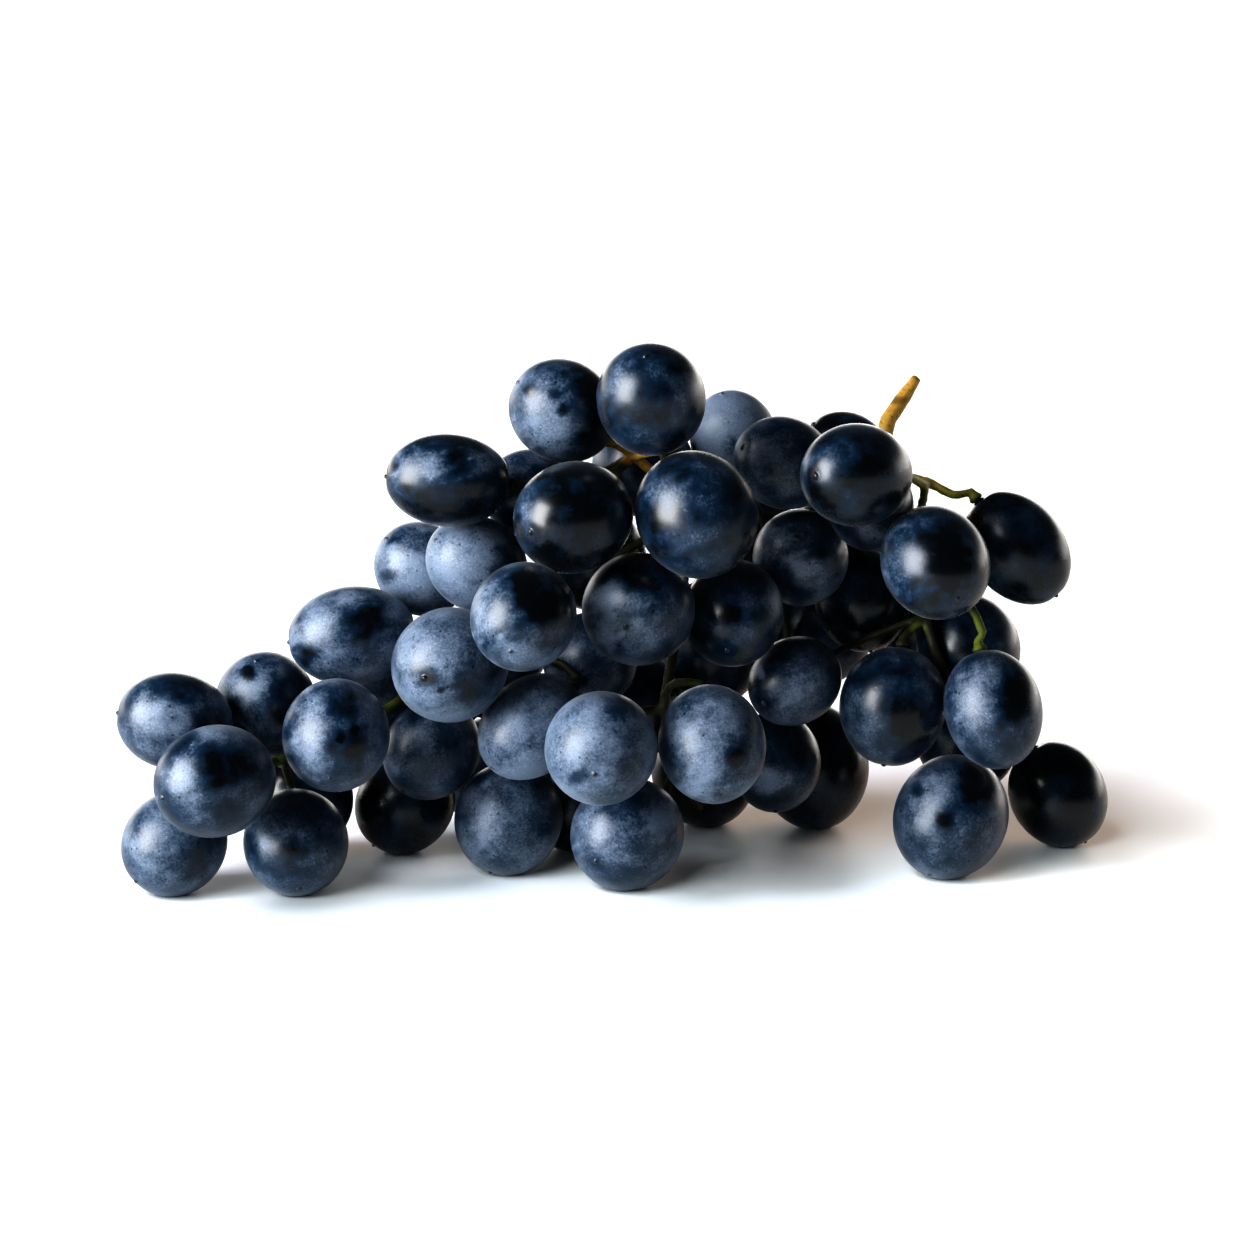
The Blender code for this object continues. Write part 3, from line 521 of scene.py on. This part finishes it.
    colour = add_node(tree, "ShaderNodeMix", {"data_type": "RGBA"},
                      {COLOUR_A: (*settings.skin, 1), COLOUR_B: (*settings.thin_wax, 1)},
                      {0: thin}).outputs[COLOUR_OUT]
    for cover, share in ((settings.thick_wax, thick), (settings.crystal, glints), (settings.scar, scar)):
        colour = add_node(tree, "ShaderNodeMix", {"data_type": "RGBA"}, {COLOUR_B: (*cover, 1)},
                          {0: share, COLOUR_A: colour}).outputs[COLOUR_OUT]
    rough = add_node(tree, "ShaderNodeMapRange", values={
        "From Min": 0.0, "From Max": 1.0, "To Min": 0.24, "To Max": 0.48,
    }, links={"Value": amount})
    bump = add_node(tree, "ShaderNodeBump", values={"Strength": 0.45, "Distance": 0.045 * MM},
                    links={"Height": amount})
    tree.links.new(colour, shader.inputs["Base Color"])
    tree.links.new(rough.outputs["Result"], shader.inputs["Roughness"])
    tree.links.new(bump.outputs["Normal"], shader.inputs["Normal"])
    return made


def stem_material(settings):
    """Grape stem: old wood at the cut end, and living shoots.

    The wood is ochre and its colour is uneven over about 3 mm. The shoots are yellow-green in the listed
    spots and towards the back, and inside the bunch they are dark olive, a painted shade. All of it is
    matt, with slightly raised flecks of about 0.8 mm, the strongest of them dark. The knot and the cut end
    of the stalk are brown.
    """
    made, tree, shader = new_material("green_and_woody_stem", {"Roughness": 0.6})
    place = add_node(tree, "ShaderNodeTexCoord").outputs["Object"]
    wood = add_node(tree, "ShaderNodeAttribute", {"attribute_name": "wood"}).outputs["Fac"]
    fresh = add_node(tree, "ShaderNodeAttribute", {"attribute_name": "fresh"}).outputs["Fac"]
    knot = add_node(tree, "ShaderNodeAttribute", {"attribute_name": "knot"}).outputs["Fac"]
    cloud = add_node(tree, "ShaderNodeTexNoise", values={"Scale": CLOUDS_PER_M, "Detail": 3.0},
                     links={"Vector": place})
    fleck = add_node(tree, "ShaderNodeTexNoise", values={"Scale": FLECKS_PER_M, "Detail": 3.0},
                     links={"Vector": place}).outputs["Fac"]
    uneven = add_node(tree, "ShaderNodeMath", {"operation": "MULTIPLY_ADD"},
                      {1: AGE_CONTRAST, 2: AGE_LEAST}, {0: cloud.outputs["Fac"]})
    age = add_node(tree, "ShaderNodeMath", {"operation": "MULTIPLY", "use_clamp": True},
                   links={0: wood, 1: uneven.outputs[0]}).outputs[0]
    dark = add_node(tree, "ShaderNodeMapRange", {"interpolation_type": "SMOOTHSTEP"},
                    {"From Min": 0.56, "From Max": 0.7, "To Max": 0.55}, {"Value": fleck})
    brown = add_node(tree, "ShaderNodeMath", {"operation": "MULTIPLY"}, {1: KNOT_BROWN}, {0: knot})
    dark = add_node(tree, "ShaderNodeMath", {"operation": "MAXIMUM"},
                    links={0: dark.outputs["Result"], 1: brown.outputs[0]}).outputs[0]
    # The dark olive is a painted shade on the shoots inside the bunch, and the green shows where the share
    # says so
    colour = add_node(tree, "ShaderNodeMix", {"data_type": "RGBA"},
                      {COLOUR_A: (*settings.inner, 1), COLOUR_B: (*settings.green, 1)},
                      {0: fresh}).outputs[COLOUR_OUT]
    for cover, share in ((settings.ochre, age), (settings.fleck, dark)):
        colour = add_node(tree, "ShaderNodeMix", {"data_type": "RGBA"}, {COLOUR_B: (*cover, 1)},
                          {0: share, COLOUR_A: colour}).outputs[COLOUR_OUT]
    bump = add_node(tree, "ShaderNodeBump", values={"Strength": 0.6, "Distance": 0.08 * MM},
                    links={"Height": fleck})
    tree.links.new(colour, shader.inputs["Base Color"])
    tree.links.new(bump.outputs["Normal"], shader.inputs["Normal"])
    return made


def spots_at(spots, across, up):
    """How much each seen place lies in one of the spots: 1 in its middle, 0 outside."""
    inside = [np.exp(-(((across - spot_across) / half_width) ** 2 + ((up - spot_up) / half_height) ** 2) ** 2)
              for spot_across, spot_up, half_width, half_height in spots]
    return np.max(inside, axis=0)


def wax_marks_and_painted_light_on(name, points, centre):
    """How much the photographed marks add to the wax at each point of a grape's seen side: real frost and
    rubbed places, with painted highlights as more wax and painted shade as less.
    """
    across, up = seen_place(points).T
    wander = sum(np.cos(points @ np.array(wave)) for wave in MARK_WAVES) / len(MARK_WAVES)
    total = np.zeros(len(points))
    for mark_across, mark_up, half_width, half_height, amount in WAX_MARKS_AND_PAINTED_LIGHT.get(name, ()):
        away = ((across - mark_across) / half_width) ** 2 + ((up - mark_up) / half_height) ** 2
        total += amount * np.exp(-(away * (1 + MARK_UNEVENNESS * wander)) ** 2)
    # Only the side that faces the camera carries the marks, with their painted highlights and shade
    return total * ((points - centre) @ BACK < 0)


def make_grape(name, material, chance):
    """One grape in the place of its solid."""
    centre, axis, long_half, wide_half = fitted_grape(name)
    turned, upright, scar = grape_surface(axis, long_half, wide_half, chance)
    points = kept_in_box(centre + turned, centre)
    faces = closed_grid(GRAPE_ROWS, GRAPE_COLUMNS)
    grape = new_object(name.replace("grape_", "skin_"), points, faces, material)
    own_patch = chance.uniform(-PATTERN_REACH, PATTERN_REACH, 3)
    bloom = BLOOM.get(name, chance.uniform(*BACK_BLOOM))
    add_values(grape.data, "skin_place", "FLOAT_VECTOR", upright + own_patch)
    # The bloom is the grape's own wax plus its marks, among them painted highlights and painted shade
    add_values(grape.data, "bloom", "FLOAT", bloom + wax_marks_and_painted_light_on(name, points, centre))
    add_values(grape.data, "scar", "FLOAT", scar)
    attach(grape, "root")
    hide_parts(name)


def eased_stem(settings):
    """The stem's mesh: a merged copy of its solid under an even net of small faces, with eased corners."""
    source = bpy.data.meshes.new("stem_source")
    shape = bmesh.new()
    shape.from_mesh(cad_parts["stem"].data)
    bmesh.ops.remove_doubles(shape, verts=shape.verts, dist=MERGE_DISTANCE * MM)
    shape.to_mesh(source)
    shape.free()
    cover = bpy.data.objects.new("stem_cover", source)
    bpy.context.scene.collection.objects.link(cover)
    net = cover.modifiers.new("even net", "REMESH")
    net.mode = "VOXEL"
    net.voxel_size = settings.net * MM
    ease = cover.modifiers.new("eased corners", "SMOOTH")
    ease.factor = 0.5
    ease.iterations = settings.easing
    bpy.context.view_layer.update()
    mesh = bpy.data.meshes.new_from_object(cover.evaluated_get(bpy.context.evaluated_depsgraph_get()))
    bpy.data.objects.remove(cover)
    return mesh


def woody_at(points):
    """How much each point of the stem is old wood: near the cut end, and on the woody shoot in front."""
    tip = points[points[:, 2].argmax()]
    stalk = np.exp(-(np.linalg.norm(points - tip, axis=1) / WOOD_REACH) ** 4)
    from_start = seen_place(points) - SHOOT_START
    along = np.clip(from_start @ SHOOT_RUN / (SHOOT_RUN @ SHOOT_RUN), 0, 1)
    off = np.linalg.norm(from_start - along[:, None] * SHOOT_RUN, axis=1)
    shoot = np.exp(-(off / SHOOT_HALF_WIDTH) ** 4) * ((points - AIM) @ BACK < -SHOOT_IN_FRONT)
    return np.maximum(stalk, shoot)


def make_stem(settings, material):
    """The stem with round, slightly knotty shoots.

    Each point of the eased net moves outwards along its normal by a small growth and the mean of short
    waves, which takes some of them inwards.
    """
    mesh = eased_stem(settings)
    points = np.empty(len(mesh.vertices) * 3, np.float32)
    mesh.vertices.foreach_get("co", points)
    points = points.reshape(-1, 3).astype(float) / MM
    normals = np.empty(len(mesh.vertices) * 3, np.float32)
    mesh.vertex_normals.foreach_get("vector", normals)
    normals = normals.reshape(-1, 3).astype(float)
    relief = waves_over(points, KNOT_WAVES, KNOT_LENGTHS, np.random.default_rng(STEM_SEED))
    points += normals * (STEM_GROWTH + KNOT_HEIGHT * relief)[:, None]
    mesh.vertices.foreach_set("co", (points * MM).astype(np.float32).ravel())
    mesh.shade_smooth()
    mesh.materials.clear()
    mesh.materials.append(material)
    mesh.name = "woody_stem"
    stem = bpy.data.objects.new("woody_stem", mesh)
    bpy.context.scene.collection.objects.link(stem)
    wood = woody_at(points)
    across, up = seen_place(points).T
    # Outside the wood, the listed green spots and the back, the shoots get the painted shade of dark olive
    behind = np.clip((points[:, 1] - BACK_STARTS) / BACK_FADE, 0, 1)
    fresh = np.maximum.reduce([wood, spots_at(SHOOTS_WITHOUT_PAINTED_SHADE, across, up), BACK_GREEN * behind])
    add_values(mesh, "wood", "FLOAT", wood)
    add_values(mesh, "fresh", "FLOAT", fresh)
    add_values(mesh, "knot", "FLOAT", spots_at(KNOTS, across, up))
    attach(stem, "root")
    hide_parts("stem")


def make_floor(settings):
    """The table: a flat surface a hair below the grapes, with points on even rows."""
    reach = settings.floor_reach / MM
    side = np.linspace(-reach, reach, FLOOR_POINTS)
    x, y = (grid.ravel() for grid in np.meshgrid(side, side, indexing="ij"))
    points = np.stack([x, y, np.full(len(x), -FLOOR_DROP)], axis=1)
    cells = np.arange(FLOOR_POINTS - 1)
    at = cells[:, None] * FLOOR_POINTS + cells
    faces = np.stack([at, at + FLOOR_POINTS, at + FLOOR_POINTS + 1, at + 1], axis=-1).reshape(-1, 4).tolist()
    white = new_material("matt_white_table", {"Base Color": (*settings.table, 1), "Roughness": 0.5})[0]
    floor = new_object("floor", points, faces, white)
    return floor


def make_lamp(kind, name, place, energy, colour, receivers):
    """The data of a lamp that shines from a place towards the middle, on what the receivers' list says."""
    data = bpy.data.lights.new(name, kind)
    data.energy = energy
    data.color = colour
    lamp = bpy.data.objects.new(name, data)
    lamp.location = place
    lamp.rotation_euler = (-lamp.location).to_track_quat("-Z", "Y").to_euler()
    bpy.context.scene.collection.objects.link(lamp)
    lamp.light_linking.receiver_collection = receivers
    return data


def make_lamps(settings, floor):
    """A tall soft window on the left for the bunch, and the lamps that light and shade the table alone.

    Daylight from the front left casts the shadow, warm skylight from the back right colours it, and the
    glow is the light that the table throws back at the grapes.
    """
    all_but_table = bpy.data.collections.new("all_but_table")
    all_but_table.objects.link(floor)
    all_but_table.collection_objects[0].light_linking.link_state = "EXCLUDE"
    window = make_lamp("AREA", "window", WINDOW_PLACE, settings.window, (1, 1, 1), all_but_table)
    window.shape = "RECTANGLE"
    window.size, window.size_y = WINDOW_SIZE
    table_only = bpy.data.collections.new("table_only")
    table_only.objects.link(floor)
    for name, direction, colour, width, thrown_back in TABLE_LAMPS:
        lamp = make_lamp("SUN", name, direction, getattr(settings, name), linear(colour), table_only)
        lamp.angle = math.radians(width)
        if not thrown_back:
            lamp.cycles.max_bounces = 0


def make_room(settings):
    """White paper as the background, and a dark room with one low bright wall for what the grapes mirror.

    The picture is shown in plain colours with high contrast, as the photograph is.
    """
    world = bpy.data.worlds.new("studio")
    world.use_nodes = True
    tree = world.node_tree
    tree.nodes.clear()
    towards = add_node(tree, "ShaderNodeTexCoord").outputs["Generated"]
    parts = add_node(tree, "ShaderNodeSeparateXYZ", links={"Vector": towards})
    low = add_node(tree, "ShaderNodeMapRange", {"interpolation_type": "SMOOTHSTEP"},
                   {"From Min": WALL_TOP[0], "From Max": WALL_TOP[1], "To Min": 1.0, "To Max": 0.0},
                   {"Value": parts.outputs["Z"]})
    behind = add_node(tree, "ShaderNodeMapRange", {"interpolation_type": "SMOOTHSTEP"},
                      {"From Min": 0.0, "From Max": WALL_SIDES}, {"Value": parts.outputs["Y"]})
    wall = add_node(tree, "ShaderNodeMath", {"operation": "MULTIPLY"},
                    links={0: low.outputs["Result"], 1: behind.outputs["Result"]})
    room = add_node(tree, "ShaderNodeMix", {"data_type": "RGBA"},
                    {COLOUR_A: (*settings.room, 1), COLOUR_B: (*WALL_LIGHT, 1)}, {0: wall.outputs[0]})
    around = add_node(tree, "ShaderNodeBackground", links={"Color": room.outputs[COLOUR_OUT]})
    paper = add_node(tree, "ShaderNodeBackground", values={"Color": (1, 1, 1, 1)})
    direct = add_node(tree, "ShaderNodeLightPath").outputs["Is Camera Ray"]
    both = add_node(tree, "ShaderNodeMixShader", links={0: direct, 1: around.outputs[0], 2: paper.outputs[0]})
    add_node(tree, "ShaderNodeOutputWorld", links={"Surface": both.outputs[0]})
    bpy.context.scene.world = world
    bpy.context.scene.view_settings.view_transform = "Standard"
    bpy.context.scene.view_settings.look = "High Contrast"


def make_camera():
    """The camera at the photograph's place, with the photograph's frame."""
    data = bpy.data.cameras.new("camera")
    data.sensor_width = SENSOR
    data.lens = SENSOR * VIEW_DISTANCE / FRAME_WIDTH
    camera = bpy.data.objects.new("camera", data)
    camera.location = Vector(AIM + AIM_UP * UP - VIEW_DISTANCE * BACK) * MM
    camera.rotation_euler = (math.radians(90) - VIEW_TILT, 0, 0)
    bpy.context.scene.collection.objects.link(camera)
    bpy.context.scene.camera = camera


class GrapeSkinSettings(bpy.types.PropertyGroup):
    """Colours of the grapes."""

    skin: FloatVectorProperty(name="Skin", description="The bare skin", subtype="COLOR", min=0, max=1,
                              default=linear("#03080e"))
    thin_wax: FloatVectorProperty(name="Thin wax", description="Skin under a thin dust of wax",
                                  subtype="COLOR", min=0, max=1, default=linear("#0f2a41"))
    thick_wax: FloatVectorProperty(name="Thick wax", description="Wax where it hides the skin",
                                   subtype="COLOR", min=0, max=1, default=linear("#74849a"))
    crystal: FloatVectorProperty(name="Crystals", description="The palest grains of the wax and its sheen",
                                 subtype="COLOR", min=0, max=1, default=linear("#c3ccd6"))
    scar: FloatVectorProperty(name="Scar", description="The dry scar at the far end", subtype="COLOR",
                              min=0, max=1, default=linear("#2b2620"))


class StemSettings(bpy.types.PropertyGroup):
    """Sizes and colours of the stem."""

    net: FloatProperty(name="Net", description="Face size of the stem's surface in millimetres",
                       default=0.34, min=0.2, max=1)
    easing: IntProperty(name="Easing", description="How often the surface is eased", default=6, min=0, max=30)
    green: FloatVectorProperty(name="Green", description="Young shoots", subtype="COLOR", min=0, max=1,
                               default=linear("#6f7d24"))
    # Painted shade: the dark olive of the shoots inside the bunch
    inner: FloatVectorProperty(name="Inner", description="Old shoots inside the bunch", subtype="COLOR",
                               min=0, max=1, default=linear("#2b2f15"))
    ochre: FloatVectorProperty(name="Ochre", description="Old wood", subtype="COLOR", min=0, max=1,
                               default=linear("#d0a24a"))
    fleck: FloatVectorProperty(name="Flecks", description="Dark flecks and knots", subtype="COLOR", min=0,
                               max=1, default=linear("#4d3415"))


class StageSettings(bpy.types.PropertyGroup):
    """Sizes, colours and strengths of the stage."""

    floor_reach: FloatProperty(name="Table reach", description="From the middle to the table's edge",
                               default=8, min=1, unit="LENGTH")
    table: FloatVectorProperty(name="Table", description="The table's white", subtype="COLOR", min=0, max=1,
                               default=linear("#eff1f2"))
    room: FloatVectorProperty(name="Room", description="The dark room", subtype="COLOR", min=0, max=1,
                              default=linear("#2c3136"))
    window: FloatProperty(name="Window", description="Light from the window in watts", default=18.0, min=0)
    daylight: FloatProperty(name="Daylight", description="Strength of the daylight on the table",
                            default=2.3, min=0)
    skylight: FloatProperty(name="Skylight", description="Strength of the warm skylight on the table",
                            default=1.1, min=0)
    table_glow: FloatProperty(name="Table glow", description="Strength of the light thrown back by the table",
                              default=3.8, min=0)


class GRAPES_OT_skins(bpy.types.Operator):
    """Make every grape with its waxy skin"""

    bl_idname = "grapes.skins"
    bl_label = "Grapes"

    def execute(self, context):
        material = grape_skin_material(context.scene.grape_skins)
        chance = np.random.default_rng(SKIN_SEED)
        for name in sorted(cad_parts):
            if name.startswith("grape_"):
                make_grape(name, material, chance)
        return {"FINISHED"}


class GRAPES_OT_stem(bpy.types.Operator):
    """Make the branching stem"""

    bl_idname = "grapes.stem"
    bl_label = "Stem"

    def execute(self, context):
        settings = context.scene.grape_stem
        make_stem(settings, stem_material(settings))
        return {"FINISHED"}


class GRAPES_OT_stage(bpy.types.Operator):
    """Make the table, the light and the camera"""

    bl_idname = "grapes.stage"
    bl_label = "Stage"

    def execute(self, context):
        settings = context.scene.grape_stage
        make_lamps(settings, make_floor(settings))
        make_room(settings)
        make_camera()
        return {"FINISHED"}


class GRAPES_PT_panel(bpy.types.Panel):
    """The pieces of the bunch and their settings"""

    bl_idname = "GRAPES_PT_panel"
    bl_label = "Bunch of grapes"
    bl_space_type = "VIEW_3D"
    bl_region_type = "UI"
    bl_category = "Grapes"

    def draw(self, context):
        scene = context.scene
        for operator, settings in ((GRAPES_OT_skins, scene.grape_skins), (GRAPES_OT_stem, scene.grape_stem),
                                   (GRAPES_OT_stage, scene.grape_stage)):
            box = self.layout.box()
            box.operator(operator.bl_idname)
            for name in type(settings).__annotations__:
                box.prop(settings, name)


CLASSES = (GrapeSkinSettings, StemSettings, StageSettings, GRAPES_OT_skins, GRAPES_OT_stem, GRAPES_OT_stage,
           GRAPES_PT_panel)


def register():
    """Make the settings, the operators and the panel known to Blender."""
    for made in CLASSES:
        bpy.utils.register_class(made)
    bpy.types.Scene.grape_skins = PointerProperty(type=GrapeSkinSettings)
    bpy.types.Scene.grape_stem = PointerProperty(type=StemSettings)
    bpy.types.Scene.grape_stage = PointerProperty(type=StageSettings)


def unregister():
    """Take them away again, the last one first."""
    del bpy.types.Scene.grape_stage
    del bpy.types.Scene.grape_stem
    del bpy.types.Scene.grape_skins
    for made in reversed(CLASSES):
        bpy.utils.unregister_class(made)


def main():
    """Make the whole bunch and its stage."""
    register()
    bpy.ops.grapes.skins()
    bpy.ops.grapes.stem()
    bpy.ops.grapes.stage()


if __name__ == "__main__":
    main()
